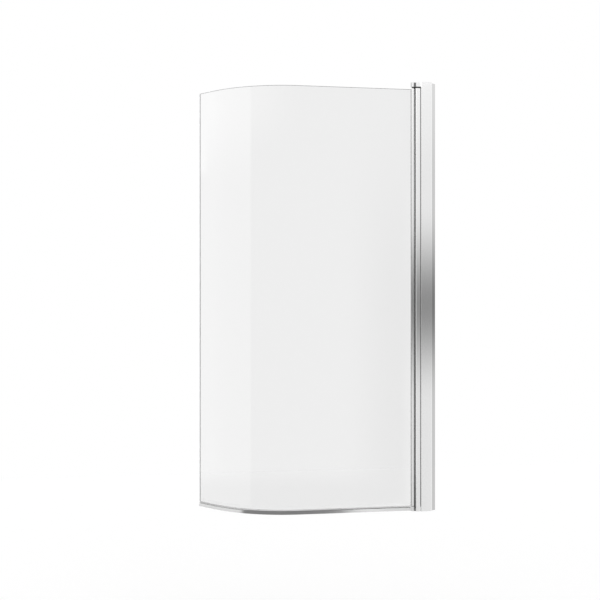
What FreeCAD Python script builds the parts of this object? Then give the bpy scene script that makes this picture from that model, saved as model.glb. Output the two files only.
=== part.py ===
import FreeCAD, Part
import os
import Sketcher

# Curved bath screen: a bent sheet of toughened glass that swings on a wall profile beside a bath.
# Frame: +Z is up and +X points into the wall. The origin lies on the wall plane, in the middle plane
# of the flat glass and at half the height. The room is on the -Y side, the bather on the +Y side.

# Driving sizes, in millimetres and degrees
SIZES = (
    # Heights
    ("profile_height", "1400", "length of the wall profile"),
    ("block_height", "15.5", "height of each pivot block"),
    ("shadow_gap", "5", "dark line between the top block and the upright profiles"),
    ("packing_inset", "0.5", "packing under the top block, back from the expander's faces"),
    ("lift_clearance", "0.3", "play above the top bush"),
    ("thrust_thickness", "1.3", "room for the flange that carries the leaf"),
    ("thrust_clearance", "0.1", "play under the bottom bush"),
    ("glass_setdown", "3", "glass top edge below the top of its profile"),
    # Wall profile
    ("wall_depth", "49.4", "reach of the wall profile from the wall"),
    ("wall_width", "25", "outer width of the wall profile"),
    ("wall_gauge", "2.2", "leg thickness of the wall profile"),
    ("wall_web", "3", "web thickness of the wall profile"),
    ("bevel_run", "13.5", "bevelled shoulder, along X"),
    ("bevel_drop", "8", "bevelled shoulder, along Y"),
    ("bevel_round", "8", "rounding between the front face and the bevel"),
    ("relief_top", "4", "bevelled shoulder cut back at the top"),
    ("relief_bottom", "2", "bevelled shoulder cut back at the bottom"),
    ("edge_round", "0.6", "rounding of the extruded edges"),
    ("leg_round", "0.3", "rounding of the wall profile's leg ends"),
    ("tongue_width", "0.8", "groove in the leg ends for the leg seals"),
    ("tongue_depth", "1.5", "depth of that groove"),
    ("tongue_fit", "0.05", "play of the leg seals in their grooves"),
    ("lip_depth", "1.4", "leg seals beyond the leg ends"),
    ("lip_inset", "0.2", "leg seals back from the wall profile's faces"),
    ("lip_gap", "0.05", "leg seals off the expander"),
    ("fixing_hole", "5.2", "wall fixing hole diameter"),
    ("fixing_offset", "4", "wall fixing holes from the middle plane"),
    ("fixing_inner", "200", "inner wall fixing holes above and below the middle"),
    ("fixing_end", "100", "outer wall fixing holes from the ends of the profile"),
    ("plug_height", "8", "height of the wall profile's end plugs"),
    ("plug_room", "0.55", "room between the end plugs and the expander at its innermost"),
    ("plug_clearance", "0.15", "play round the end plugs"),
    # Clamp screws that set the width
    ("adjust_travel", "8", "width adjustment each way"),
    ("clamp_set", "5", "clamp screws from the wall end of the expander"),
    ("clamp_pitch", "450", "spacing of the clamp screws"),
    ("clamp_screw", "3.9", "clamp screw diameter"),
    ("clamp_length", "9", "clamp screw length under the head"),
    ("clamp_clearance", "0.05", "radial play of the clamp screw in the expander"),
    ("slot_clearance", "0.25", "radial play of the clamp screw in its slot"),
    ("head_diameter", "7.6", "clamp screw head diameter"),
    ("head_height", "2.4", "clamp screw head height"),
    ("head_round", "1", "rounding of the clamp screw head"),
    ("washer_diameter", "9", "clamp washer diameter"),
    ("washer_thickness", "0.8", "clamp washer thickness"),
    ("washer_gap", "0.08", "running gap under the clamp washer"),
    ("cap_wall", "1.2", "wall of the screw cap"),
    ("cap_clearance", "0.1", "play of the cap round the washer"),
    ("cap_height", "5", "height of the screw cap"),
    ("cap_round", "2", "rounding of the screw cap"),
    # Expander
    ("expander_clearance", "0.3", "play of the expander in the wall profile"),
    ("expander_reach", "66.1", "hinge end of the expander from the wall"),
    ("expander_root", "26", "wall end of the expander from the wall"),
    ("expander_gauge", "2", "leg thickness of the expander"),
    ("expander_end", "3", "end wall thickness of the expander"),
    ("port_near", "5", "first screw port from the expander's hinge end"),
    ("port_far", "20.5", "second screw port from the expander's hinge end"),
    ("port_offset", "5.8", "screw ports from the middle plane"),
    ("port_bore", "3.5", "screw port bore"),
    ("port_wall", "1.2", "screw port wall"),
    # Hinge seal and its groove
    ("rebate_width", "17", "width of the shallow rebate for the seal's face"),
    ("rebate_depth", "1", "depth of that rebate"),
    ("groove_mouth", "2.4", "mouth of the seal groove"),
    ("groove_neck", "1.2", "depth of the groove's mouth"),
    ("groove_foot", "4.4", "width of the groove's foot"),
    ("groove_depth", "1.4", "depth of the groove's foot"),
    ("groove_wall", "1.5", "metal round the groove"),
    ("strip_fit", "0.1", "play of the seal strip in its groove"),
    ("strip_stand", "0.2", "how far the seal strip stands out"),
    # Pivot
    ("nose_gap", "0.5", "gap between the expander and the swing of the glass profile"),
    ("hinge_thickness", "11.3", "thickness of the glass profile"),
    ("nose_run", "4.9", "pivot axis to the end of the nose's slopes"),
    ("nose_tip", "1.6", "half width of the nose between its slopes"),
    ("grip_reach", "7.9", "pivot axis to the grip end of the glass profile"),
    ("grip_round", "0.2", "rounding of the channel's leg ends"),
    ("channel_depth", "4.4", "depth of the glass channel"),
    ("rear_setback", "2", "bather's leg of the channel, back from the room's leg"),
    ("hinge_bore", "5.2", "bore for the bushes"),
    ("bush_fit", "0.05", "radial play of the bush in its bore"),
    ("bush_length", "18", "length of the bush sleeve"),
    ("flange_diameter", "10", "bush flange diameter"),
    ("pin_diameter", "4", "pivot pin diameter"),
    ("pin_running", "0.05", "radial play of the pin in the bush"),
    ("pin_press", "0.02", "radial play of the pin in the block"),
    ("pin_hold", "11", "length of the pin inside the block"),
    ("pin_reach", "17", "length of the pin inside the glass profile"),
    ("pin_chamfer", "0.5", "end chamfer of the pin"),
    ("bore_end", "0.3", "play past the end of the pin"),
    ("neck_width", "7", "neck between a block and its eye"),
    ("eye_reach", "7.1", "pivot axis to the end of a block's eye"),
    ("block_edge", "0.8", "rounding of the blocks' outer edges"),
    ("block_screw", "3.4", "block screw diameter"),
    ("block_screw_grip", "12", "block screw length inside the expander"),
    ("block_screw_head", "6.8", "block screw head diameter"),
    ("block_screw_play", "0.2", "play round the block screws"),
    ("drive_socket", "2.3", "hexagon socket of the block screws, across its corners"),
    ("drive_depth", "2", "depth of that socket"),
    # Glass and glazing
    ("glass_thickness", "6", "glass thickness"),
    ("bend_start", "452.5", "start of the bend from the wall"),
    ("bend_radius", "325", "radius of the bend at the outer face"),
    ("bend_angle", "53", "angle of the bend"),
    ("return_run", "72.3", "straight glass beyond the bend"),
    ("arris", "0.6", "ground edge of the glass"),
    ("gasket", "0.7", "thickness of the glazing gasket"),
    ("gasket_lip", "1.05", "lip of the glazing gasket"),
    # Bottom seal
    ("seal_gap", "2.35", "glass profile to the end of the bottom seal"),
    ("clip_fit", "0.1", "play of the clip on the glass"),
    ("clip_wall", "0.8", "thickness of the clip's legs"),
    ("clip_leg", "11", "height of the clip's legs on the glass"),
    ("clip_web", "1.5", "thickness of the clip under the glass"),
    ("wiper_plate", "1", "thickness of the wiper's top"),
    ("fin_thickness", "0.8", "thickness of the wiper's fins"),
    ("skirt_drop", "1.6", "upright part of the fins"),
    ("fin_drop", "12.4", "overall drop of the fins"),
    ("fin_outer", "7", "outer fin tip from the glass middle"),
    ("fin_inner", "6", "inner fin tip from the glass middle"),
)

# Places that follow from the driving sizes
PLACES = (
    ("top_end", "Sizes.profile_height / 2"),
    ("block_under", "top_end - Sizes.block_height"),
    ("rail_top", "block_under - Sizes.shadow_gap"),
    ("leaf_foot", "Sizes.thrust_thickness - block_under"),
    ("glass_top", "rail_top - Sizes.glass_setdown"),
    ("bevel_length", "sqrt(Sizes.bevel_run * Sizes.bevel_run + Sizes.bevel_drop * Sizes.bevel_drop)"),
    ("fixing_outer", "top_end - Sizes.fixing_end"),
    ("clamp_station", "Sizes.expander_root + Sizes.clamp_set"),
    ("plug_back", "Sizes.expander_root - Sizes.adjust_travel - Sizes.plug_room"),
    ("wall_half", "Sizes.wall_width / 2"),
    ("wall_inside", "wall_half - Sizes.wall_gauge"),
    ("leg_middle", "(wall_half + wall_inside) / 2"),
    ("expander_half", "wall_inside - Sizes.expander_clearance"),
    ("expander_inside", "expander_half - Sizes.expander_gauge"),
    ("clamp_slot", "Sizes.clamp_screw + 2 * Sizes.slot_clearance"),
    ("washer_face", "wall_half + Sizes.washer_gap"),
    ("head_face", "washer_face + Sizes.washer_thickness"),
    ("cap_inside", "Sizes.washer_diameter / 2 + Sizes.cap_clearance"),
    ("hinge_half", "Sizes.hinge_thickness / 2"),
    ("axis_x", "-Sizes.expander_reach - Sizes.nose_gap - hinge_half"),
    ("grip_end", "axis_x - Sizes.grip_reach"),
    ("rear_grip", "grip_end + Sizes.rear_setback"),
    ("channel_floor", "grip_end + Sizes.channel_depth"),
    ("glass_half", "Sizes.glass_thickness / 2"),
    ("channel_half", "glass_half + Sizes.gasket"),
    ("glass_edge", "channel_floor - Sizes.gasket"),
    ("seal_start", "grip_end - Sizes.seal_gap"),
    ("clip_inside", "glass_half + Sizes.clip_fit"),
    ("clip_half", "clip_inside + Sizes.clip_wall"),
    ("clip_under", "leaf_foot - Sizes.clip_web"),
    ("path_radius", "Sizes.bend_radius - glass_half"),
    ("bend_end_x", "-Sizes.bend_start - path_radius * sin(Sizes.bend_angle * 1deg)"),
    ("bend_end_y", "path_radius * (1 - cos(Sizes.bend_angle * 1deg))"),
    ("free_end_x", "bend_end_x - Sizes.return_run * cos(Sizes.bend_angle * 1deg)"),
    ("free_end_y", "bend_end_y + Sizes.return_run * sin(Sizes.bend_angle * 1deg)"),
)

doc = FreeCAD.newDocument("BathScreen")

sizes = doc.addObject("Spreadsheet::Sheet", "Sizes")
for row, (alias, value, meaning) in enumerate(SIZES, start=1):
    sizes.set(f"A{row}", meaning)
    sizes.set(f"B{row}", value)
    sizes.setAlias(f"B{row}", alias)

places = doc.addObject("Spreadsheet::Sheet", "Places")
for row, (alias, formula) in enumerate(PLACES, start=1):
    places.set(f"A{row}", "=" + formula)
    places.setAlias(f"A{row}", alias)
doc.recompute()


def number(formula):
    """The present value of a formula over the two sheets."""
    return float(sizes.evalExpression(formula))


def new_body(label, axis_x=None):
    """An empty body, moved along X where its own axis isn't the frame's."""
    body = doc.addObject("PartDesign::Body", label)
    body.Label = label
    if axis_x:
        body.setExpression("Placement.Base.x", axis_x)
    return body


def origin_feature(body, role):
    return [feature for feature in body.Origin.OriginFeatures if feature.Role == role][0]


def new_sketch(body, name, role, offset=None):
    """A sketch on one of the body's own origin planes, moved along that plane's normal by a formula."""
    sketch = body.newObject("Sketcher::SketchObject", name)
    sketch.AttachmentSupport = [(origin_feature(body, role), "")]
    sketch.MapMode = "FlatFace"
    if offset:
        sketch.setExpression("AttachmentOffset.Base.z", offset)
    return sketch


def tie_point(sketch, geometry, position, formulas, axes=(0, 1)):
    """Hold one point of the sketch at a pair of formulas."""
    for axis in axes:
        kind = ("DistanceX", "DistanceY")[axis]
        value = number(formulas[axis])
        index = sketch.addConstraint(Sketcher.Constraint(kind, -1, 1, geometry, position, value))
        sketch.setExpression(f"Constraints[{index}]", formulas[axis])


def draw_path(sketch, corners, arcs=None, closed=True):
    """Lines through the corners, given as pairs of formulas. arcs maps the number of a stretch to the
    formulas of its centre and its sense: True turns anticlockwise from its first corner to its second."""
    arcs = arcs or {}
    points = [FreeCAD.Vector(number(x), number(y), 0) for x, y in corners]
    count = len(points)
    starts = []
    ends = []
    for stretch in range(count if closed else count - 1):
        first = points[stretch]
        second = points[(stretch + 1) % count]
        if stretch not in arcs:
            geometry = sketch.addGeometry(Part.LineSegment(first, second), False)
            starts.append((geometry, 1))
            ends.append((geometry, 2))
            continue
        centre_x, centre_y, anticlockwise = arcs[stretch]
        centre = FreeCAD.Vector(number(centre_x), number(centre_y), 0)
        circle = Part.Circle(centre, FreeCAD.Vector(0, 0, 1), (first - centre).Length)
        begin, finish = (first, second) if anticlockwise else (second, first)
        arc = Part.ArcOfCircle(circle, circle.parameter(begin), circle.parameter(finish))
        geometry = sketch.addGeometry(arc, False)
        starts.append((geometry, 1 if anticlockwise else 2))
        ends.append((geometry, 2 if anticlockwise else 1))
        chord = second - first
        across = 0 if abs(chord.y) > abs(chord.x) else 1
        tie_point(sketch, geometry, 3, (centre_x, centre_y), (across,))
    for stretch, (geometry, position) in enumerate(ends):
        following = (stretch + 1) % count
        if following < len(starts):
            sketch.addConstraint(Sketcher.Constraint("Coincident", geometry, position, *starts[following]))
    for corner, (geometry, position) in enumerate(starts):
        tie_point(sketch, geometry, position, corners[corner])
    if not closed:
        tie_point(sketch, *ends[-1], corners[-1])


def draw_circle(sketch, centre, diameter):
    middle = FreeCAD.Vector(number(centre[0]), number(centre[1]), 0)
    circle = Part.Circle(middle, FreeCAD.Vector(0, 0, 1), number(diameter) / 2)
    geometry = sketch.addGeometry(circle, False)
    tie_point(sketch, geometry, 3, centre)
    index = sketch.addConstraint(Sketcher.Constraint("Diameter", geometry, number(diameter)))
    sketch.setExpression(f"Constraints[{index}]", diameter)


def pad(body, name, sketch, length):
    feature = body.newObject("PartDesign::Pad", name)
    feature.Profile = sketch
    feature.setExpression("Length", length)
    doc.recompute()
    return feature


def pocket(body, name, sketch, length, reverse=False):
    """Cut the sketch into the body, against its normal unless reversed, and make sure that it cut."""
    before = body.Shape.Volume
    feature = body.newObject("PartDesign::Pocket", name)
    feature.Profile = sketch
    feature.setExpression("Length", length)
    feature.Reversed = reverse
    doc.recompute()
    if body.Shape.Volume >= before:
        raise RuntimeError(f"{body.Label}: {name} cuts nothing")
    return feature


def turn(body, name, corners, arcs=None, role="XZ_Plane", offset=None):
    """A turned piece: a section in radius and height, spun round the body's upright sketch axis."""
    sketch = new_sketch(body, name + "Section", role, offset)
    draw_path(sketch, corners, arcs)
    feature = body.newObject("PartDesign::Revolution", name)
    feature.Profile = sketch
    feature.ReferenceAxis = (sketch, ["V_Axis"])
    feature.Angle = 360
    doc.recompute()
    return feature


def row_of(body, name, feature, count, length):
    """Repeat a feature upwards."""
    pattern = body.newObject("PartDesign::LinearPattern", name)
    pattern.Originals = [feature]
    pattern.Direction = (origin_feature(body, "Z_Axis"), [""])
    pattern.setExpression("Length", length)
    pattern.Occurrences = count
    body.Tip = pattern
    doc.recompute()
    return pattern


def round_edges(body, name, wanted, radius):
    """Round the edges of the body so far that the test picks."""
    base = body.Tip
    names = [f"Edge{i}" for i, edge in enumerate(base.Shape.Edges, start=1) if wanted(edge)]
    if not names:
        raise RuntimeError(f"{body.Label}: {name} finds no edge")
    feature = body.newObject("PartDesign::Fillet", name)
    feature.Base = (base, names)
    feature.setExpression("Radius", radius)
    doc.recompute()
    return feature


def upright_at(*corners):
    """A test for upright edges that stand on the given plan points."""
    plan = [(number(x), number(y)) for x, y in corners]

    def wanted(edge):
        ends = [vertex.Point for vertex in edge.Vertexes]
        if len(ends) != 2 or abs(ends[0].z - ends[1].z) < 1:
            return False
        return any(all(abs(p.x - x) < 0.001 and abs(p.y - y) < 0.001 for p in ends) for x, y in plan)

    return wanted


def level_at(height):
    """A test for edges that lie at one height."""
    level = number(height)
    return lambda edge: all(abs(vertex.Point.z - level) < 0.001 for vertex in edge.Vertexes)


def mirrored(corners):
    """The same plan points on the other side of the middle plane, in the opposite order."""
    return [(x, f"-({y})") for x, y in reversed(corners)]


# Wall profile: a U with one bevelled shoulder, so that the wall joint shows as a narrow slanted strip

def bevel_corner(gauge):
    """Where the bevel, at a distance inside its outer face, meets the room-side leg."""
    shift = f"({gauge}) * (Places.bevel_length - Sizes.bevel_run) / Sizes.bevel_drop"
    return f"-Sizes.bevel_run - {shift}", f"({gauge}) - Places.wall_half"


def bevel_meets(depth, gauge):
    """Where the bevel, at a distance inside its outer face, crosses a plane at a depth from the wall."""
    rise = f"Sizes.bevel_drop * (Sizes.bevel_run - ({depth})) / Sizes.bevel_run"
    inset = f"({gauge}) * Places.bevel_length / Sizes.bevel_run"
    return f"-({depth})", f"{rise} + {inset} - Places.wall_half"


wall_profile = new_body("wall_profile")
section = new_sketch(wall_profile, "WallSection", "XY_Plane", "-Places.top_end")
leg_ends = [("-Sizes.wall_depth", "-Places.wall_half"), ("-Sizes.wall_depth", "-Places.wall_inside")]
tongue_floor = "Sizes.tongue_depth - Sizes.wall_depth"
leg_outline = [
    leg_ends[0],
    ("-Sizes.wall_depth", "-Places.leg_middle - Sizes.tongue_width / 2"),
    (tongue_floor, "-Places.leg_middle - Sizes.tongue_width / 2"),
    (tongue_floor, "Sizes.tongue_width / 2 - Places.leg_middle"),
    ("-Sizes.wall_depth", "Sizes.tongue_width / 2 - Places.leg_middle"),
    leg_ends[1],
]
draw_path(section, [
    bevel_meets("0", "0"),
    bevel_corner("0"),
    *leg_outline,
    bevel_corner("Sizes.wall_gauge"),
    bevel_meets("Sizes.wall_web", "Sizes.wall_gauge"),
    ("-Sizes.wall_web", "Places.wall_inside"),
    *mirrored(leg_outline),
    ("0", "Places.wall_half"),
])
pad(wall_profile, "WallExtrusion", section, "Sizes.profile_height")
round_edges(wall_profile, "WallEdges", upright_at(*leg_ends, *mirrored(leg_ends)), "Sizes.leg_round")
round_edges(wall_profile, "BevelEdge", upright_at(bevel_corner("0")), "Sizes.bevel_round")
reliefs = new_sketch(wall_profile, "ReliefOutlines", "XZ_Plane", "Places.wall_half")
for relief_start, relief_end in (
    ("Places.top_end - Sizes.relief_top", "Places.top_end"),
    ("Sizes.relief_bottom - Places.top_end", "-Places.top_end"),
):
    draw_path(reliefs, [
        ("-Sizes.bevel_run", relief_start),
        ("0", relief_start),
        ("0", relief_end),
        ("-Sizes.bevel_run", relief_end),
    ])
pocket(wall_profile, "ShoulderReliefs", reliefs, "2 * Places.wall_half")
fixings = new_sketch(wall_profile, "FixingCircles", "YZ_Plane")
for fixing_height in ("Sizes.fixing_inner", "Places.fixing_outer"):
    for side in ("", "-"):
        draw_circle(fixings, ("Sizes.fixing_offset", side + fixing_height), "Sizes.fixing_hole")
pocket(wall_profile, "FixingHoles", fixings, "2 * Sizes.wall_web")
slot = new_sketch(wall_profile, "ClampSlotOutline", "XZ_Plane")
slot_near = "Sizes.adjust_travel - Places.clamp_station"
slot_far = "-Sizes.adjust_travel - Places.clamp_station"
slot_low = "-Sizes.clamp_pitch - Places.clamp_slot / 2"
slot_high = "-Sizes.clamp_pitch + Places.clamp_slot / 2"
draw_path(slot, [
    (slot_far, slot_low),
    (slot_near, slot_low),
    (slot_near, slot_high),
    (slot_far, slot_high),
], {1: (slot_near, "-Sizes.clamp_pitch", True), 3: (slot_far, "-Sizes.clamp_pitch", True)})
clamp_slot = pocket(wall_profile, "ClampSlot", slot, "2 * Places.wall_half")
row_of(wall_profile, "ClampSlots", clamp_slot, 3, "2 * Sizes.clamp_pitch")


def end_plug(label, foot):
    """A plug that closes the wall profile's end behind the expander and follows the bevel inside."""
    plug = new_body(label)
    outline = new_sketch(plug, label + "Outline", "XY_Plane", foot)
    gauge = "Sizes.wall_gauge + Sizes.plug_clearance"
    front = "Sizes.wall_web + Sizes.plug_clearance"
    side = "Places.wall_inside - Sizes.plug_clearance"
    draw_path(outline, [
        bevel_meets(front, gauge),
        bevel_corner(gauge),
        ("-Places.plug_back", f"-({side})"),
        ("-Places.plug_back", side),
        (f"-({front})", side),
    ])
    pad(plug, label + "Body", outline, "Sizes.plug_height")
    return plug


wall_profile_top_plug = end_plug("wall_profile_top_plug",
                                 "Places.top_end - Sizes.relief_top - Sizes.plug_height")
wall_profile_bottom_plug = end_plug("wall_profile_bottom_plug", "Sizes.relief_bottom - Places.top_end")

# Leg seals: a dark lip on each leg end that wipes the expander, held by a tongue

expander_length = "Places.rail_top + Places.block_under"
leg_edge_seals = new_body("leg_edge_seals")
section = new_sketch(leg_edge_seals, "LegSealSections", "XY_Plane", "-Places.block_under")
tongue_half = "Sizes.tongue_width / 2 - Sizes.tongue_fit"
tongue_end = tongue_floor + " - Sizes.tongue_fit"
lip_front = "-Sizes.wall_depth - Sizes.lip_depth"
lip_outer = "Sizes.lip_inset - Places.wall_half"
lip_inner = "-Places.expander_half - Sizes.lip_gap"
leg_seal = [
    (tongue_end, f"-Places.leg_middle - ({tongue_half})"),
    ("-Sizes.wall_depth", f"-Places.leg_middle - ({tongue_half})"),
    ("-Sizes.wall_depth", lip_outer),
    (lip_front, lip_outer),
    (lip_front, lip_inner),
    ("-Sizes.wall_depth", lip_inner),
    ("-Sizes.wall_depth", f"{tongue_half} - Places.leg_middle"),
    (tongue_end, f"{tongue_half} - Places.leg_middle"),
]
draw_path(section, leg_seal)
draw_path(section, mirrored(leg_seal))
pad(leg_edge_seals, "LegSealStrips", section, expander_length)

# Expander: the U that slides in the wall profile, with two screw ports and a groove for the hinge seal

expander_profile = new_body("expander_profile")
section = new_sketch(expander_profile, "ExpanderSection", "XY_Plane", "-Places.block_under")
rebate_x = "Sizes.rebate_depth - Sizes.expander_reach"
groove_neck_x = rebate_x + " + Sizes.groove_neck"
groove_floor_x = groove_neck_x + " + Sizes.groove_depth"
end_wall_x = "Sizes.expander_end - Sizes.expander_reach"
groove_boss_x = groove_floor_x + " + Sizes.groove_wall"
groove_boss_y = "Sizes.groove_foot / 2 + Sizes.groove_wall"
outer_corner = ("-Sizes.expander_reach", "-Places.expander_half")
half_outline = [
    ("-Sizes.expander_root", "-Places.expander_half"),
    outer_corner,
    ("-Sizes.expander_reach", "-Sizes.rebate_width / 2"),
    (rebate_x, "-Sizes.rebate_width / 2"),
    (rebate_x, "-Sizes.groove_mouth / 2"),
    (groove_neck_x, "-Sizes.groove_mouth / 2"),
    (groove_neck_x, "-Sizes.groove_foot / 2"),
    (groove_floor_x, "-Sizes.groove_foot / 2"),
]
half_inside = [
    ("-Sizes.expander_root", "Places.expander_inside"),
    (end_wall_x, "Places.expander_inside"),
    (end_wall_x, groove_boss_y),
    (groove_boss_x, groove_boss_y),
]
draw_path(section, half_outline + mirrored(half_outline) + half_inside + mirrored(half_inside))
pad(expander_profile, "ExpanderExtrusion", section, expander_length)
round_edges(expander_profile, "ExpanderEdges", upright_at(outer_corner, *mirrored([outer_corner])),
            "Sizes.edge_round")
PORTS = (
    ("Sizes.port_near - Sizes.expander_reach", "Sizes.port_offset"),
    ("Sizes.port_far - Sizes.expander_reach", "-Sizes.port_offset"),
)
port_walls = new_sketch(expander_profile, "PortWalls", "XY_Plane", "-Places.block_under")
port_bores = new_sketch(expander_profile, "PortBores", "XY_Plane", "-Places.block_under")
for port in PORTS:
    draw_circle(port_walls, port, "Sizes.port_bore + 2 * Sizes.port_wall")
    draw_circle(port_bores, port, "Sizes.port_bore")
pad(expander_profile, "Ports", port_walls, expander_length)
pocket(expander_profile, "PortHoles", port_bores, expander_length, reverse=True)
screw_hole = new_sketch(expander_profile, "ClampCircle", "XZ_Plane")
draw_circle(screw_hole, ("-Places.clamp_station", "-Sizes.clamp_pitch"),
            "Sizes.clamp_screw + 2 * Sizes.clamp_clearance")
clamp_hole = pocket(expander_profile, "ClampHole", screw_hole, "2 * Places.expander_half")
row_of(expander_profile, "ClampHoles", clamp_hole, 3, "2 * Sizes.clamp_pitch")

# Hinge seal: a flat strip in the rebate, with a T foot in the expander's groove

hinge_seal = new_body("hinge_seal")
section = new_sketch(hinge_seal, "HingeSealSection", "XY_Plane", "-Places.block_under")
strip_face_x = "-Sizes.expander_reach - Sizes.strip_stand"
strip_back_x = rebate_x + " - Sizes.strip_fit"
strip_neck_x = groove_neck_x + " + Sizes.strip_fit"
strip_foot_x = groove_floor_x + " - Sizes.strip_fit"
strip_half = [
    (strip_face_x, "Sizes.strip_fit - Sizes.rebate_width / 2"),
    (strip_back_x, "Sizes.strip_fit - Sizes.rebate_width / 2"),
    (strip_back_x, "Sizes.strip_fit - Sizes.groove_mouth / 2"),
    (strip_neck_x, "Sizes.strip_fit - Sizes.groove_mouth / 2"),
    (strip_neck_x, "Sizes.strip_fit - Sizes.groove_foot / 2"),
    (strip_foot_x, "Sizes.strip_fit - Sizes.groove_foot / 2"),
]
draw_path(section, strip_half + mirrored(strip_half))
pad(hinge_seal, "HingeSealStrip", section, expander_length)

# Clamp screws, washers and domed caps on the bather's side, turned round an axis along Y

clamp_screws = new_body("clamp_screws", "-Places.clamp_station")
head_top = "Places.head_face + Sizes.head_height"
clamp_screw = turn(clamp_screws, "ClampScrew", [
    ("0", "Places.head_face - Sizes.clamp_length"),
    ("Sizes.clamp_screw / 2", "Places.head_face - Sizes.clamp_length"),
    ("Sizes.clamp_screw / 2", "Places.head_face"),
    ("Sizes.head_diameter / 2", "Places.head_face"),
    ("Sizes.head_diameter / 2", f"{head_top} - Sizes.head_round"),
    ("Sizes.head_diameter / 2 - Sizes.head_round", head_top),
    ("0", head_top),
], {4: ("Sizes.head_diameter / 2 - Sizes.head_round", f"{head_top} - Sizes.head_round", True)},
    "XY_Plane", "-Sizes.clamp_pitch")
row_of(clamp_screws, "ClampScrewRow", clamp_screw, 3, "2 * Sizes.clamp_pitch")

clamp_washers = new_body("clamp_washers", "-Places.clamp_station")
washer_hole = "Sizes.clamp_screw / 2 + Sizes.clamp_clearance"
clamp_washer = turn(clamp_washers, "ClampWasher", [
    (washer_hole, "Places.washer_face"),
    ("Sizes.washer_diameter / 2", "Places.washer_face"),
    ("Sizes.washer_diameter / 2", "Places.head_face"),
    (washer_hole, "Places.head_face"),
], None, "XY_Plane", "-Sizes.clamp_pitch")
row_of(clamp_washers, "ClampWasherRow", clamp_washer, 3, "2 * Sizes.clamp_pitch")

clamp_screw_caps = new_body("clamp_screw_caps", "-Places.clamp_station")
cap_outside = "Places.cap_inside + Sizes.cap_wall"
cap_top = "Places.washer_face + Sizes.cap_height"
screw_cap = turn(clamp_screw_caps, "ScrewCap", [
    ("Places.cap_inside", "Places.washer_face"),
    (cap_outside, "Places.washer_face"),
    (cap_outside, f"{cap_top} - Sizes.cap_round"),
    (f"{cap_outside} - Sizes.cap_round", cap_top),
    ("0", cap_top),
    ("0", f"{cap_top} - Sizes.cap_wall"),
    ("Places.cap_inside", f"{cap_top} - Sizes.cap_wall"),
], {2: (f"{cap_outside} - Sizes.cap_round", f"{cap_top} - Sizes.cap_round", True)},
    "XY_Plane", "-Sizes.clamp_pitch")
row_of(clamp_screw_caps, "ScrewCapRow", screw_cap, 3, "2 * Sizes.clamp_pitch")


# Pivot blocks: a cover on the expander's end, a neck and an eye that repeats the glass profile

def pivot_block(label, foot, outer_face, inner_face, downwards):
    """A block from its foot upwards. downwards is True where its pin points down."""
    block = new_body(label)
    outline = new_sketch(block, label + "Outline", "XY_Plane", foot)
    slope = "Sizes.nose_run / (Places.hinge_half - Sizes.nose_tip)"
    neck_end = f"Places.axis_x + (Places.hinge_half - Sizes.neck_width / 2) * {slope}"
    half = [
        ("-Sizes.expander_root", "-Places.expander_half"),
        ("-Sizes.expander_reach", "-Places.expander_half"),
        ("-Sizes.expander_reach", "-Sizes.neck_width / 2"),
        (neck_end, "-Sizes.neck_width / 2"),
        ("Places.axis_x", "-Places.hinge_half"),
        ("Places.axis_x - Sizes.eye_reach", "-Places.hinge_half"),
    ]
    draw_path(outline, half + mirrored(half))
    pad(block, label + "Body", outline, "Sizes.block_height")
    round_edges(block, label + "Edges", level_at(outer_face), "Sizes.block_edge")
    bore = new_sketch(block, label + "PinCircle", "XY_Plane", inner_face)
    draw_circle(bore, ("Places.axis_x", "0"), "Sizes.pin_diameter + 2 * Sizes.pin_press")
    pocket(block, label + "PinBore", bore, "Sizes.pin_hold + Sizes.bore_end", reverse=downwards)
    points = new_sketch(block, label + "ScrewPoints", "XY_Plane", outer_face)
    for port in PORTS:
        draw_circle(points, port, "Sizes.block_screw + 2 * Sizes.block_screw_play")
    doc.recompute()
    before = block.Shape.Volume
    holes = block.newObject("PartDesign::Hole", label + "ScrewHoles")
    holes.Profile = points
    doc.recompute()
    holes.ThreadType = "None"
    holes.setExpression("Diameter", "Sizes.block_screw + 2 * Sizes.block_screw_play")
    holes.DepthType = "ThroughAll"
    holes.HoleCutType = "Countersink"
    holes.HoleCutCustomValues = True
    holes.setExpression("HoleCutDiameter", "Sizes.block_screw_head + 2 * Sizes.block_screw_play")
    holes.HoleCutCountersinkAngle = 90
    holes.Reversed = not downwards
    doc.recompute()
    if block.Shape.Volume >= before:
        raise RuntimeError(f"{label}: the screw holes cut nothing")
    return block


top_pivot_block = pivot_block("top_pivot_block", "Places.block_under", "Places.top_end",
                              "Places.block_under", True)
bottom_pivot_block = pivot_block("bottom_pivot_block", "-Places.top_end", "-Places.top_end",
                                 "-Places.block_under", False)

# Packing: the dark plate between the top block and the expander

top_block_packing = new_body("top_block_packing")
outline = new_sketch(top_block_packing, "PackingOutline", "XY_Plane", "Places.rail_top")
packing_side = "Places.expander_half - Sizes.packing_inset"
packing_near = "-Sizes.expander_root - Sizes.packing_inset"
packing_far = "Sizes.packing_inset - Sizes.expander_reach"
draw_path(outline, [
    (packing_far, f"-({packing_side})"),
    (packing_near, f"-({packing_side})"),
    (packing_near, packing_side),
    (packing_far, packing_side),
])
for port in PORTS:
    draw_circle(outline, port, "Sizes.block_screw + 2 * Sizes.block_screw_play")
pad(top_block_packing, "PackingPlate", outline, "Sizes.shadow_gap")


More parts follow.
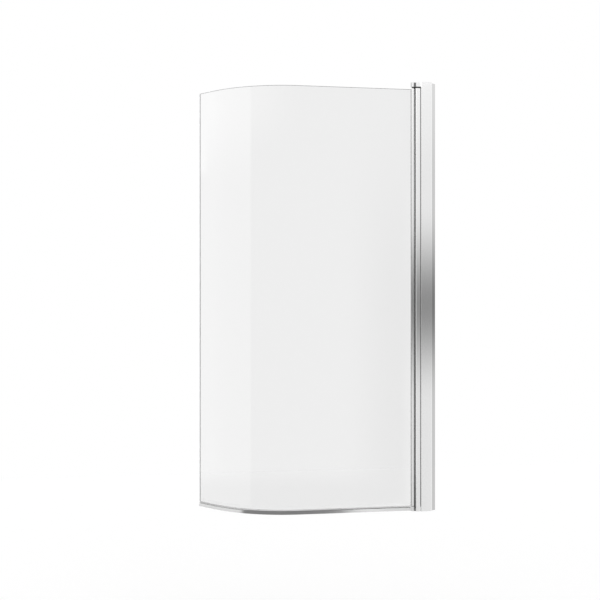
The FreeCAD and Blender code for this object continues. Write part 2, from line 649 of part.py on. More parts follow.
def block_screws(label, outer_face, tip, upwards):
    """Countersunk socket screws through a block into the expander's ports, as one group."""
    screws = []
    sense = "1" if upwards else "-1"
    head_rise = "(Sizes.block_screw_head - Sizes.block_screw) / 2"
    head_face = f"({outer_face}) + {sense} * Sizes.block_screw_play"
    for place, (port_x, port_y) in enumerate(PORTS, start=1):
        shank = doc.addObject("Part::Cylinder", f"{label}Shank{place}")
        shank.setExpression("Radius", "Sizes.block_screw / 2")
        shank.setExpression("Height", f"abs(({tip}) - ({head_face}))")
        shank.setExpression("Placement.Base.z", head_face if upwards else tip)
        head = doc.addObject("Part::Cone", f"{label}Head{place}")
        head.setExpression("Radius1", "Sizes.block_screw_head / 2" if upwards else "Sizes.block_screw / 2")
        head.setExpression("Radius2", "Sizes.block_screw / 2" if upwards else "Sizes.block_screw_head / 2")
        head.setExpression("Height", head_rise)
        head.setExpression("Placement.Base.z", head_face if upwards else f"{head_face} - {head_rise}")
        socket = doc.addObject("Part::Prism", f"{label}Socket{place}")
        socket.Polygon = 6
        socket.setExpression("Circumradius", "Sizes.drive_socket / 2")
        socket.setExpression("Height", "Sizes.drive_depth")
        socket.setExpression("Placement.Base.z", head_face if upwards else f"{head_face} - Sizes.drive_depth")
        for piece in (shank, head, socket):
            piece.setExpression("Placement.Base.x", port_x)
            piece.setExpression("Placement.Base.y", port_y)
        blank = doc.addObject("Part::Fuse", f"{label}Blank{place}")
        blank.Base = shank
        blank.Tool = head
        blank.Refine = True
        screw = doc.addObject("Part::Cut", f"{label}Screw{place}")
        screw.Base = blank
        screw.Tool = socket
        screws.append(screw)
    group = doc.addObject("Part::Compound", label)
    group.Links = screws
    group.Label = label
    return group


top_block_screws = block_screws("top_block_screws", "Places.top_end",
                                "Places.rail_top - Sizes.block_screw_grip", False)
bottom_block_screws = block_screws("bottom_block_screws", "-Places.top_end",
                                   "Sizes.block_screw_grip - Places.block_under", True)


# Pivot pins and flanged bushes, turned round the hinge axis

def pivot_pin(label, low, high):
    pin = new_body(label, "Places.axis_x")
    radius = "Sizes.pin_diameter / 2"
    turn(pin, label + "Body", [
        ("0", low),
        (f"{radius} - Sizes.pin_chamfer", low),
        (radius, f"({low}) + Sizes.pin_chamfer"),
        (radius, f"({high}) - Sizes.pin_chamfer"),
        (f"{radius} - Sizes.pin_chamfer", high),
        ("0", high),
    ])
    return pin


top_pivot_pin = pivot_pin("top_pivot_pin", "Places.rail_top - Sizes.pin_reach",
                          "Places.block_under + Sizes.pin_hold")
bottom_pivot_pin = pivot_pin("bottom_pivot_pin", "-Places.block_under - Sizes.pin_hold",
                             "Places.leaf_foot + Sizes.pin_reach")


def pivot_bush(label, profile_end, sleeve_end, flange_face):
    bush = new_body(label, "Places.axis_x")
    inside = "Sizes.pin_diameter / 2 + Sizes.pin_running"
    sleeve = "Sizes.hinge_bore / 2 - Sizes.bush_fit"
    flange = "Sizes.flange_diameter / 2"
    turn(bush, label + "Body", [
        (inside, sleeve_end),
        (sleeve, sleeve_end),
        (sleeve, profile_end),
        (flange, profile_end),
        (flange, flange_face),
        (inside, flange_face),
    ])
    return bush


top_pivot_bush = pivot_bush("top_pivot_bush", "Places.rail_top", "Places.rail_top - Sizes.bush_length",
                            "Places.block_under - Sizes.lift_clearance")
bottom_pivot_bush = pivot_bush("bottom_pivot_bush", "Places.leaf_foot",
                               "Places.leaf_foot + Sizes.bush_length",
                               "Sizes.thrust_clearance - Places.block_under")

# Glass profile: a sloped nose on the hinge axis and a channel for the glass edge

leaf_height = "Places.rail_top - Places.leaf_foot"
glass_profile = new_body("glass_profile")
section = new_sketch(glass_profile, "GlassProfileSection", "XY_Plane", "Places.leaf_foot")


def leaf_half(grip):
    """Half of the section, from the channel's floor round its leg, which ends at grip, to the nose."""
    return [
        ("Places.channel_floor", "-Places.channel_half"),
        (grip, "-Places.channel_half"),
        (grip, "-Places.hinge_half"),
        ("Places.axis_x", "-Places.hinge_half"),
        ("Places.axis_x + Sizes.nose_run", "-Sizes.nose_tip"),
    ]


room_half = leaf_half("Places.grip_end")
bather_half = leaf_half("Places.rear_grip")
nose_arc = {len(room_half) - 1: ("Places.axis_x", "0", True)}
draw_path(section, room_half + mirrored(bather_half), nose_arc)
pad(glass_profile, "GlassProfileExtrusion", section, leaf_height)
round_edges(glass_profile, "GripEdges", upright_at(room_half[2], *mirrored([bather_half[2]])),
            "Sizes.grip_round")
round_edges(glass_profile, "GlassProfileEdges", upright_at(room_half[3], *mirrored([bather_half[3]])),
            "Sizes.edge_round")
bush_bore = new_sketch(glass_profile, "BushCircle", "XY_Plane", "Places.leaf_foot")
draw_circle(bush_bore, ("Places.axis_x", "0"), "Sizes.hinge_bore")
pocket(glass_profile, "BushBore", bush_bore, leaf_height, reverse=True)

channel_top_plug = new_body("channel_top_plug")
outline = new_sketch(channel_top_plug, "ChannelPlugOutline", "XY_Plane", "Places.glass_top")
plug_side = "Places.channel_half - Sizes.plug_clearance"
plug_floor = "Places.channel_floor - Sizes.plug_clearance"
draw_path(outline, [
    ("Places.rear_grip", f"-({plug_side})"),
    (plug_floor, f"-({plug_side})"),
    (plug_floor, plug_side),
    ("Places.rear_grip", plug_side),
])
pad(channel_top_plug, "ChannelPlugBody", outline, "Sizes.glass_setdown")

# Glazing gasket: a U round the glass edge, with lips that cover the channel's mouth

glazing_gasket = new_body("glazing_gasket")
section = new_sketch(glazing_gasket, "GasketSection", "XY_Plane", "Places.leaf_foot")


def gasket_half(grip):
    """Half of the section, for a channel leg that ends at grip."""
    return [
        ("Places.channel_floor", "-Places.channel_half"),
        (grip, "-Places.channel_half"),
        (grip, "-Places.channel_half - Sizes.gasket_lip"),
        (f"{grip} - Sizes.gasket_lip", "-Places.channel_half - Sizes.gasket_lip / 2"),
        (f"{grip} - Sizes.gasket_lip", "-Places.glass_half"),
        ("Places.glass_edge", "-Places.glass_half"),
    ]


draw_path(section, gasket_half("Places.grip_end") + mirrored(gasket_half("Places.rear_grip")))
pad(glazing_gasket, "GasketExtrusion", section, "Places.glass_top - Places.leaf_foot")


# Glass and bottom seal, swept along one plan line: flat, bend and straight return

def sweep_along_glass(label, start, section_corners):
    """A body of one upright section, in Y and Z, swept along the middle of the glass."""
    body = new_body(label)
    path = new_sketch(body, label + "Path", "XY_Plane")
    draw_path(path, [
        (start, "0"),
        ("-Sizes.bend_start", "0"),
        ("Places.bend_end_x", "Places.bend_end_y"),
        ("Places.free_end_x", "Places.free_end_y"),
    ], {1: ("-Sizes.bend_start", "Places.path_radius", False)}, closed=False)
    section = new_sketch(body, label + "Section", "YZ_Plane", start)
    draw_path(section, section_corners)
    doc.recompute()
    pipe = body.newObject("PartDesign::AdditivePipe", label + "Sweep")
    pipe.Profile = section
    pipe.Spine = (path, ["Edge1", "Edge2", "Edge3"])
    doc.recompute()
    return body


def reflected(corners):
    """The same section points on the other face of the glass, in the opposite order."""
    return [(f"-({y})", z) for y, z in reversed(corners)]


half_pane = [
    ("Sizes.arris - Places.glass_half", "Places.glass_top"),
    ("-Places.glass_half", "Places.glass_top - Sizes.arris"),
    ("-Places.glass_half", "Places.leaf_foot + Sizes.arris"),
    ("Sizes.arris - Places.glass_half", "Places.leaf_foot"),
]
glass_panel = sweep_along_glass("glass_panel", "Places.glass_edge", half_pane + reflected(half_pane))

clip_leg_top = "Places.leaf_foot + Sizes.clip_leg"
half_clip = [
    ("-Places.clip_inside", "Places.leaf_foot"),
    ("-Places.clip_inside", clip_leg_top),
    ("-Places.clip_half", clip_leg_top),
    ("-Places.clip_half", "Places.clip_under"),
]
bottom_seal_clip = sweep_along_glass("bottom_seal_clip", "Places.seal_start",
                                     half_clip + reflected(half_clip))


def fin(tip):
    """One side of the wiper: an upright skirt, then a fin that leans out to its tip."""
    inside = "Places.clip_half - Sizes.fin_thickness"
    skirt = "Places.clip_under - Sizes.skirt_drop"
    foot = "Places.clip_under - Sizes.fin_drop"
    return [
        (f"-({inside})", "Places.clip_under - Sizes.wiper_plate"),
        (f"-({inside})", skirt),
        (f"Sizes.fin_thickness - {tip}", foot),
        (f"-{tip}", foot),
        ("-Places.clip_half", skirt),
        ("-Places.clip_half", "Places.clip_under"),
    ]


bottom_seal_wiper = sweep_along_glass("bottom_seal_wiper", "Places.seal_start",
                                      fin("Sizes.fin_outer") + reflected(fin("Sizes.fin_inner")))

NODES = (
    wall_profile, wall_profile_top_plug, wall_profile_bottom_plug, leg_edge_seals,
    expander_profile, hinge_seal, top_pivot_block, bottom_pivot_block, top_block_packing,
    top_block_screws, bottom_block_screws, top_pivot_pin, bottom_pivot_pin, clamp_screws, clamp_washers,
    clamp_screw_caps,
    glass_panel, glass_profile, glazing_gasket, channel_top_plug, top_pivot_bush, bottom_pivot_bush,
    bottom_seal_clip, bottom_seal_wiper,
)

# Every object must have computed and every piece must be sound before anything is written
doc.recompute()
for item in doc.Objects:
    if "Invalid" in item.State or "Error" in item.State:
        raise RuntimeError(f"{item.Label} failed: {item.State}")
for node in NODES:
    if node.Shape.isNull() or not node.Shape.isValid() or not node.Shape.Solids:
        raise RuntimeError(f"{node.Label} has no sound shape")

os.makedirs("parts", exist_ok=True)
for node in NODES:
    node.Shape.exportStep(f"parts/{node.Label}.step")
    print(node.Label, len(node.Shape.Solids), round(node.Shape.Volume, 1))
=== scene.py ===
import math

import bpy
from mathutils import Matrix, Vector


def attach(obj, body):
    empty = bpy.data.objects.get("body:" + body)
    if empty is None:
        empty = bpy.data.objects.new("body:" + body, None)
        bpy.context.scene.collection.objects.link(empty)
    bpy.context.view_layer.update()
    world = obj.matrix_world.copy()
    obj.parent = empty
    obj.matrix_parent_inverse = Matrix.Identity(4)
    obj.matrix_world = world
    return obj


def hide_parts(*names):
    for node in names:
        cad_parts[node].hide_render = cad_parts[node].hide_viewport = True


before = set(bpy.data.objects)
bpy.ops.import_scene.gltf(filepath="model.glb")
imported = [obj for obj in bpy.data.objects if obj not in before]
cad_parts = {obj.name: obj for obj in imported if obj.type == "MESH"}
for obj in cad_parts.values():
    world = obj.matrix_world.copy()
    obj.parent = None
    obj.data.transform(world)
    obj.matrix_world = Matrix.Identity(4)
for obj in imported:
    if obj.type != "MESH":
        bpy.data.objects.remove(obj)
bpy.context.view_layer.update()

# Sizes of the swept pieces, in metres, as the solids have them
GLASS_THICKNESS = 0.006
GLASS_EDGE_X = -0.07645
GLASS_FOOT = -0.6832
GLASS_TOP = 0.6765
ARRIS = 0.0006
ARRIS_SEGMENTS = 2
BEND_START_X = -0.4525
BEND_CENTRE_Y = 0.322
BEND_ANGLE = math.radians(53)
BEND_STEPS = 56
RETURN_RUN = 0.0723
SEAL_START_X = -0.0825
CLIP_INSIDE = 0.0031
CLIP_OUTSIDE = 0.0039
CLIP_LEG = 0.011
CLIP_WEB = 0.0015
WIPER_PLATE = 0.001
FIN_THICKNESS = 0.0008
SKIRT_DROP = 0.0016
FIN_DROP = 0.0124
FIN_OUTER = 0.007
FIN_INNER = 0.006

# Limits of the mesh work
SAME_HEIGHT = 0.00002
EDGE_SLACK = 0.0001
MERGE_BELOW = 0.00001
SMOOTH_BELOW = math.radians(8)
UPRIGHT_BELOW = 0.1
BROAD_ABOVE = 0.7

# Painted shade in the groove beside the blocks' necks: a dark, dull patch in place of the plating
NECK_SHADE_LOW_X = -0.0721
NECK_SHADE_HIGH_X = -0.0660
NECK_SHADE_TOP = 0.6988
NECK_SHADE_FOOT = -0.6998

# Painted shade: a dark, dull line along the wiper's root, below its pale top
ROOT_SHADE_TOP = -0.6856
ROOT_SHADE_FOOT = -0.6876
ROOT_SHADE_BLUR = 0.0003

# How far fine marks and the plating's orange peel stand out
FINE_RELIEF = 0.0002
PEEL_RELIEF = 0.0003

# Places of the colour sockets of a Mix node, which share their names with others
MIX_FACTOR = 0
MIX_FIRST = 6
MIX_LAST = 7
MIX_RESULT = 2

WHITE = (1, 1, 1, 1)


# Shader maths

class Value:
    """A socket in a node tree. Python's operators on it add Math nodes."""

    def __init__(self, finish, socket):
        self.finish = finish
        self.socket = socket

    def math(self, operation, *others):
        return self.finish.value("ShaderNodeMath", [self, *others], operation=operation)

    def __add__(self, other):
        return self.math("ADD", other)

    def __radd__(self, other):
        return self.math("ADD", other)

    def __sub__(self, other):
        return self.math("SUBTRACT", other)

    def __rsub__(self, other):
        return self.finish.value("ShaderNodeMath", [other, self], operation="SUBTRACT")

    def __mul__(self, other):
        return self.math("MULTIPLY", other)

    def __rmul__(self, other):
        return self.math("MULTIPLY", other)

    def __truediv__(self, other):
        return self.math("DIVIDE", other)

    def __rtruediv__(self, other):
        return self.finish.value("ShaderNodeMath", [other, self], operation="DIVIDE")

    def above(self, limit):
        """1 where this value is over the limit, and 0 elsewhere."""
        return self.math("GREATER_THAN", limit)

    def below(self, limit):
        """1 where this value is under the limit, and 0 elsewhere."""
        return self.math("LESS_THAN", limit)

    def ramp(self, low, high, first=0.0, last=1.0):
        """A smooth change from first to last while this value goes from low to high."""
        inputs = [self, low, high, first, last]
        return self.finish.value("ShaderNodeMapRange", inputs, interpolation_type="SMOOTHSTEP")

    def fall(self, low, high):
        """A smooth change from 1 to 0 while this value goes from low to high."""
        return self.ramp(low, high, 1.0, 0.0)


class Finish:
    """A node tree under construction, in a material or the world."""

    def __init__(self, tree):
        self.tree = tree
        tree.nodes.clear()

    def node(self, kind, inputs=(), **settings):
        """Add a node: its settings first, then values or links for its sockets, by name or by place."""
        node = self.tree.nodes.new(kind)
        for name, setting in settings.items():
            setattr(node, name, setting)
        pairs = inputs.items() if isinstance(inputs, dict) else enumerate(inputs)
        for place, given in pairs:
            if isinstance(given, Value):
                self.tree.links.new(given.socket, node.inputs[place])
            else:
                node.inputs[place].default_value = given
        return node

    def value(self, kind, inputs=(), output=0, **settings):
        """Add a node and take one of its outputs."""
        return Value(self, self.node(kind, inputs, **settings).outputs[output])

    def place(self):
        """Where a point lies, in the piece's own coordinates."""
        return self.value("ShaderNodeTexCoord", output="Object")

    def coordinates(self, stretch=(1, 1, 1)):
        """The same coordinates for a pattern, stretched."""
        return self.value("ShaderNodeMapping", {"Vector": self.place(), "Scale": stretch})

    def axes(self, vector):
        """The X, Y and Z of a vector."""
        node = self.node("ShaderNodeSeparateXYZ", [vector])
        return [Value(self, node.outputs[axis]) for axis in ("X", "Y", "Z")]

    def ray(self, fact):
        """A fact about the ray that reaches this surface or the world."""
        return self.value("ShaderNodeLightPath", output=fact)

    def seen_directly(self):
        """1 for a ray that comes from the camera or through glass, and 0 for others."""
        return (self.ray("Is Camera Ray") + self.ray("Is Transmission Ray")).math("MINIMUM", 1.0)

    def noise(self, vector, scale, detail):
        inputs = {"Vector": vector, "Scale": scale, "Detail": detail}
        return self.value("ShaderNodeTexNoise", inputs, output="Fac")

    def tint(self, factor, first, last):
        """A colour between two others."""
        inputs = {MIX_FACTOR: factor, MIX_FIRST: first, MIX_LAST: last}
        return self.value("ShaderNodeMix", inputs, output=MIX_RESULT, data_type="RGBA")

    def bump(self, height, strength, distance=FINE_RELIEF):
        inputs = {"Height": height, "Strength": strength, "Distance": distance}
        return self.value("ShaderNodeBump", inputs)

    def surface(self, **inputs):
        """The finished surface, a Principled shader with the sockets that are named."""
        named = {name.replace("_", " "): given for name, given in inputs.items()}
        shader = self.value("ShaderNodeBsdfPrincipled", named)
        self.node("ShaderNodeOutputMaterial", {"Surface": shader})


def new_material(name):
    material = bpy.data.materials.new(name)
    material.use_nodes = True
    return material, Finish(material.node_tree)


def grey(level):
    return (level, level, level, 1)


def bright_extrusion():
    """Bright polished aluminium with faint drawing lines along its length."""
    material, paint = new_material("bright_extrusion")
    lines = paint.noise(paint.coordinates((1, 1, 0.004)), scale=900, detail=3)
    haze = paint.noise(paint.coordinates(), scale=7, detail=3)
    paint.surface(
        Base_Color=paint.tint(haze, grey(0.90), grey(0.93)),
        Metallic=1.0,
        Roughness=0.035 + 0.03 * lines + 0.02 * haze,
        Normal=paint.bump(lines, strength=0.012),
    )
    return material


def plated_moulding():
    """Chrome plating on a moulding, with a slight orange peel, and painted shade in the groove beside the
    neck, dark and dull there.
    """
    material, paint = new_material("plated_moulding")
    peel = paint.noise(paint.coordinates(), scale=420, detail=2)
    haze = paint.noise(paint.coordinates(), scale=30, detail=3)
    along, _, rise = paint.axes(paint.place())
    # Painted shade: a dark, unplated patch over the groove beside the neck
    neck_shade_length = along.above(NECK_SHADE_LOW_X) * along.below(NECK_SHADE_HIGH_X)
    neck_shade_height = rise.below(NECK_SHADE_TOP) * rise.above(NECK_SHADE_FOOT)
    neck_shade = neck_shade_length * neck_shade_height
    bright = paint.tint(haze, grey(0.89), grey(0.93))
    paint.surface(
        Base_Color=paint.tint(neck_shade, bright, grey(0.24)),
        Metallic=1.0 - neck_shade,
        Roughness=0.04 + 0.04 * haze + 0.4 * neck_shade,
        Normal=paint.bump(peel, strength=0.02, distance=PEEL_RELIEF),
    )
    return material


def plain_stainless():
    """Stainless steel with a fine turned grain."""
    material, paint = new_material("plain_stainless")
    grain = paint.noise(paint.coordinates((1, 1, 8)), scale=900, detail=4)
    paint.surface(
        Base_Color=paint.tint(grain, grey(0.56), grey(0.66)),
        Metallic=1.0,
        Roughness=0.22 + 0.14 * grain,
        Normal=paint.bump(grain, strength=0.05),
    )
    return material


def moulded_plastic(name, dark, light, rough):
    """Matt moulded plastic with a fine eroded texture."""
    material, paint = new_material(name)
    erode = paint.noise(paint.coordinates(), scale=2600, detail=4)
    cloud = paint.noise(paint.coordinates(), scale=45, detail=3)
    paint.surface(
        Base_Color=paint.tint(cloud, dark, light),
        Roughness=rough + 0.16 * erode,
        Normal=paint.bump(erode, strength=0.12),
    )
    return material


def seal_with_painted_shade():
    """The hinge seal: smooth vinyl with a gloss and fine die lines, painted near-black as painted shade of
    the gap between the profiles.
    """
    material, paint = new_material("grey_rubber")
    lines = paint.noise(paint.coordinates((1, 1, 0.01)), scale=1200, detail=3)
    paint.surface(
        # Painted shade: near-black, far darker than the seal's grey rubber, for the shade in its gap
        Base_Color=paint.tint(lines, grey(0.030), grey(0.045)),
        Roughness=0.10 + 0.08 * lines,
        IOR=2.4,
        Normal=paint.bump(lines, strength=0.02),
    )
    return material


def clear_glass():
    """Clear toughened glass with the faintest rolled ripple in its gloss."""
    material, paint = new_material("clear_glass")
    ripple = paint.noise(paint.coordinates((1, 1, 0.35)), scale=3.2, detail=2)
    paint.surface(
        Base_Color=grey(0.84),
        Roughness=0.006 * ripple,
        IOR=1.5,
        Transmission_Weight=1.0,
    )
    return material


def ground_edge():
    """The ground edge of the glass, dull with fine grinding marks."""
    material, paint = new_material("ground_edge")
    marks = paint.noise(paint.coordinates(), scale=1500, detail=3)
    paint.surface(
        Base_Color=paint.tint(marks, (0.29, 0.30, 0.30, 1), (0.38, 0.39, 0.39, 1)),
        Roughness=0.30 + 0.2 * marks,
        Normal=paint.bump(marks, strength=0.1),
    )
    return material


def die_lines(paint):
    """Fine lines along an extruded vinyl strip."""
    return paint.noise(paint.coordinates((1, 1, 60)), scale=60, detail=3)


def clear_vinyl():
    """Clear extruded vinyl that hardly shows on the glass, with die lines along its length."""
    material, paint = new_material("clear_vinyl")
    paint.surface(
        Base_Color=grey(0.995),
        Roughness=0.02 + 0.03 * die_lines(paint),
        IOR=1.1,
        Transmission_Weight=1.0,
    )
    return material


def soft_vinyl():
    """Soft glossy vinyl of the wiper, with a pale top, painted shade as a dark, dull line at its root, and
    die lines.
    """
    material, paint = new_material("soft_vinyl")
    lines = die_lines(paint)
    _, _, rise = paint.axes(paint.place())
    top = rise.above(ROOT_SHADE_TOP)
    # Painted shade along the root of the wiper
    root_shade = rise.ramp(ROOT_SHADE_FOOT - ROOT_SHADE_BLUR, ROOT_SHADE_FOOT + ROOT_SHADE_BLUR) - top
    glossy = paint.tint(lines, grey(0.20), grey(0.25))
    shaded = paint.tint(root_shade, glossy, grey(0.03))
    paint.surface(
        Base_Color=paint.tint(top, shaded, grey(0.85)),
        Roughness=0.05 + 0.06 * lines + 0.4 * root_shade,
        IOR=2.4,
        Normal=paint.bump(lines, strength=0.02),
    )
    return material


EXTRUSION = bright_extrusion()
PLATING = plated_moulding()
STAINLESS = plain_stainless()
GREY_PLASTIC = moulded_plastic("grey_plastic", (0.50, 0.51, 0.52, 1), (0.58, 0.59, 0.60, 1), rough=0.42)
BLACK_NYLON = moulded_plastic("black_nylon", grey(0.020), grey(0.034), rough=0.34)
# Black rubber: the glazing gasket's own colour, and painted shade where it fills the gaps by the top block
# and the wall profile's leg
BLACK_RUBBER_AND_SHADE = moulded_plastic("black_rubber", grey(0.030), grey(0.046), rough=0.55)
SEAL_WITH_PAINTED_SHADE = seal_with_painted_shade()
GLASS = clear_glass()
GROUND_EDGE = ground_edge()
CLEAR_VINYL = clear_vinyl()
SOFT_VINYL = soft_vinyl()

NODE_FINISHES = {
    "wall_profile": EXTRUSION,
    "expander_profile": EXTRUSION,
    "glass_profile": EXTRUSION,
    "top_pivot_block": PLATING,
    "bottom_pivot_block": PLATING,
    "clamp_screw_caps": PLATING,
    "top_block_screws": STAINLESS,
    "bottom_block_screws": STAINLESS,
    "top_pivot_pin": STAINLESS,
    "bottom_pivot_pin": STAINLESS,
    "clamp_screws": STAINLESS,
    "clamp_washers": GREY_PLASTIC,
    "wall_profile_top_plug": GREY_PLASTIC,
    "wall_profile_bottom_plug": GREY_PLASTIC,
    "channel_top_plug": GREY_PLASTIC,
    "top_pivot_bush": BLACK_NYLON,
    "bottom_pivot_bush": BLACK_NYLON,
    # The hinge seal, the leg edge seals and the top block's packing are dark parts in the gaps: painted
    # shade of those gaps
    "hinge_seal": SEAL_WITH_PAINTED_SHADE,
    "leg_edge_seals": BLACK_RUBBER_AND_SHADE,
    "top_block_packing": BLACK_RUBBER_AND_SHADE,
    "glazing_gasket": BLACK_RUBBER_AND_SHADE,
}
for node_name, finish in NODE_FINISHES.items():
    node_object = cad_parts[node_name]
    node_object.data.materials.clear()
    node_object.data.materials.append(finish)


# Swept pieces

def start_plane(name, low, high):
    """An upright rectangle across the glass, at the given corners in Y and Z, in edit mode."""
    bpy.ops.object.select_all(action="DESELECT")
    bpy.ops.mesh.primitive_plane_add(size=1, rotation=(0, math.pi / 2, 0))
    piece = bpy.context.object
    piece.name = name
    piece.data.name = name
    middle = ((low[0] + high[0]) / 2, (low[1] + high[1]) / 2)
    piece.scale = (high[1] - low[1], high[0] - low[0], 1)
    piece.location = (0, *middle)
    bpy.ops.object.transform_apply(location=True, rotation=True, scale=True)
    bpy.ops.object.mode_set(mode="EDIT")
    bpy.ops.mesh.select_mode(type="EDGE")
    return piece


def select_edges(piece, wanted):
    """Select the edges whose two ends both pass the test."""
    bpy.ops.mesh.select_all(action="DESELECT")
    bpy.ops.object.mode_set(mode="OBJECT")
    points = [vertex.co.copy() for vertex in piece.data.vertices]
    for edge in piece.data.edges:
        edge.select = all(wanted(points[i]) for i in edge.vertices)
    bpy.ops.object.mode_set(mode="EDIT")


def extrude_selected(offset):
    bpy.ops.mesh.extrude_region_move(TRANSFORM_OT_translate={"value": offset})


def cut_upright(at_y):
    """Cut the section along an upright line."""
    bpy.ops.mesh.select_all(action="SELECT")
    bpy.ops.mesh.bisect(plane_co=(0, at_y, 0), plane_no=(0, 1, 0))


def sweep(piece, start_x):
    """Run the section along the glass: flat, bend and straight return. Leaves edit mode."""
    bend_centre = (BEND_START_X, BEND_CENTRE_Y, 0)
    return_run = (-RETURN_RUN * math.cos(BEND_ANGLE), RETURN_RUN * math.sin(BEND_ANGLE), 0)
    bpy.ops.mesh.select_all(action="SELECT")
    bpy.ops.transform.translate(value=(start_x, 0, 0))
    bpy.ops.mesh.select_mode(type="FACE")
    bpy.ops.mesh.select_all(action="SELECT")
    extrude_selected((BEND_START_X - start_x, 0, 0))
    bpy.ops.mesh.spin(steps=BEND_STEPS, angle=BEND_ANGLE, center=bend_centre, axis=(0, 0, 1))
    extrude_selected(return_run)
    bpy.ops.mesh.select_all(action="SELECT")
    bpy.ops.mesh.remove_doubles(threshold=MERGE_BELOW)
    bpy.ops.mesh.normals_make_consistent(inside=False)
    bpy.ops.object.mode_set(mode="OBJECT")
    bpy.ops.object.shade_smooth_by_angle(angle=SMOOTH_BELOW)


def finish_piece(piece, materials, body, node):
    """Give a piece its materials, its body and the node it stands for."""
    for material in materials:
        piece.data.materials.append(material)
    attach(piece, body)
    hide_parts(node)


def at_height(point, height):
    """Whether a point of a section lies at a height."""
    return abs(point.z - height) < SAME_HEIGHT


def bent_pane():
    """The glass, with a small arris and ground edges, clear at the foot where the clip wets it."""
    half = GLASS_THICKNESS / 2
    pane = start_plane("bent_pane", (-half, GLASS_FOOT), (half, GLASS_TOP))
    bpy.ops.mesh.select_mode(type="VERT")
    bpy.ops.mesh.select_all(action="SELECT")
    bpy.ops.mesh.bevel(offset=ARRIS, segments=ARRIS_SEGMENTS, affect="VERTICES")
    sweep(pane, GLASS_EDGE_X)
    middle = Vector((math.sin(BEND_ANGLE / 2), math.cos(BEND_ANGLE / 2), 0))
    for face in pane.data.polygons:
        broad = abs(face.normal.z) < UPRIGHT_BELOW and abs(face.normal.dot(middle)) > BROAD_ABOVE
        in_clip = face.center.z < GLASS_FOOT + CLIP_LEG
        face.material_index = 0 if broad or in_clip else 1
    return pane


def seal_clip():
    """The clear clip: a web under the glass and a leg up each face."""
    web_foot = GLASS_FOOT - CLIP_WEB
    clip = start_plane("seal_clip", (-CLIP_OUTSIDE, web_foot), (CLIP_OUTSIDE, GLASS_FOOT))
    for side in (-1, 1):
        cut_upright(side * CLIP_INSIDE)
    for side in (-1, 1):
        def on_leg(point, side=side):
            return at_height(point, GLASS_FOOT) and side * point.y > CLIP_INSIDE - EDGE_SLACK
        select_edges(clip, on_leg)
        extrude_selected((0, 0, CLIP_LEG))
    sweep(clip, SEAL_START_X)
    return clip


def seal_wiper():
    """The soft wiper: a plate under the clip, two upright skirts and two leaning fins."""
    top = GLASS_FOOT - CLIP_WEB
    plate_foot = top - WIPER_PLATE
    skirt_foot = top - SKIRT_DROP
    inside = CLIP_OUTSIDE - FIN_THICKNESS
    wiper = start_plane("seal_wiper", (-CLIP_OUTSIDE, plate_foot), (CLIP_OUTSIDE, top))
    for side in (-1, 1):
        cut_upright(side * inside)
    for side, tip in ((-1, FIN_OUTER), (1, FIN_INNER)):
        def on_skirt(point, side=side):
            return at_height(point, plate_foot) and side * point.y > inside - EDGE_SLACK
        select_edges(wiper, on_skirt)
        extrude_selected((0, 0, skirt_foot - plate_foot))
        extrude_selected((0, side * (tip - CLIP_OUTSIDE), SKIRT_DROP - FIN_DROP))
    sweep(wiper, SEAL_START_X)
    return wiper


finish_piece(bent_pane(), [GLASS, GROUND_EDGE], "screen", "glass_panel")
finish_piece(seal_clip(), [CLEAR_VINYL], "screen", "bottom_seal_clip")
finish_piece(seal_wiper(), [SOFT_VINYL], "screen", "bottom_seal_wiper")

# Studio: a white world, a room that only polished surfaces see, a white floor and a soft lamp
ROOM_LIGHT = 0.9
LAMP_PLACE = (-0.8, -0.6, 3.2)
LAMP_SIZE = 1.0
LAMP_POWER = 30
FLOOR_Z = -1.25
FLOOR_SIZE = 14
FLOOR_MIDDLE = (-0.4, -3.0)
FLOOR_TONE = 0.8
FLOOR_WHITE = 1.005

# The mirrored room. A name with TURN is a range of turns from the front, in degrees, and one with RISE is a
# range of heights, as the upward part of a ray's heading: over the range one level changes smoothly to
# another. Levels are strengths of light, where 1 is white.

# The soft dark line at eye level
LINE_HEIGHT = -0.0045
LINE_REACH = 0.099
LINE_LEVEL = 0.278
LINE_GAIN_RISE = (-0.02, 0.02)
LINE_GAINS = (0.577, 0.597)

# The tall panel on the wall's side, and the same behind
WALL_TURN = (15.15, 15.75)
WALL_TOP_RISE = (0.12, 0.21)
WALL_TOP_GAIN = 0.06
WALL_BRIGHT_TURN = (18, 30)
WALL_BRIGHT = 1.08
WALL_DIM_TURN = (50, 74)
WALL_DIM = 0.67
WALL_DIM_TOP_RISE = (0.10, 0.21)
WALL_DIM_TOP_GAIN = 0.08
REAR_TURN = (-112, -106)
REAR_SHARE = 0.72

# The front, dimmer towards the wall but not above eye level, with a light upper corner
FRONT_DIM_TURN = (11.5, 15.1)
FRONT_LEVELS = (1.28, 0.1)
FRONT_LIFT_RISE = (0.0, 0.20)
FRONT_LIFT = 1.05
FRONT_CORNER_TURN = (-50, 12)
FRONT_CORNER_RISE = (0.14, 0.20)
FRONT_CORNER_LIFT = 0.9

# The front as light sees it that is mirrored more than once, as between the profiles
ONE_BOUNCE_LIMIT = 1.5
CREVICE_SHARE = 1.5
CREVICE_LIGHT_RISE = (0.03, 0.09)
CREVICE_LIGHT = 1.1
CREVICE_DIM_RISE = (0.11, 0.20)
CREVICE_DIM = 0.75

# The bright far side, which fades upwards into a lighter top, with a sharp edge at its far end
FAR_TURN = (-50, -46.5)
FAR_LEVEL = 2.1
FAR_TOP_RISE = (0.105, 0.195)
FAR_TOP_LIFT = 0.95
FAR_END_TURN = (-101.9, -101.2)
FAR_END_RISE = (0.118, 0.132)
FAR_END_LIFT = 0.9

# The shaded skirting
SKIRTING_RISE = (-0.188, -0.164)
SKIRTING_FRONT = 0.75
SKIRTING_FAR = 0.5

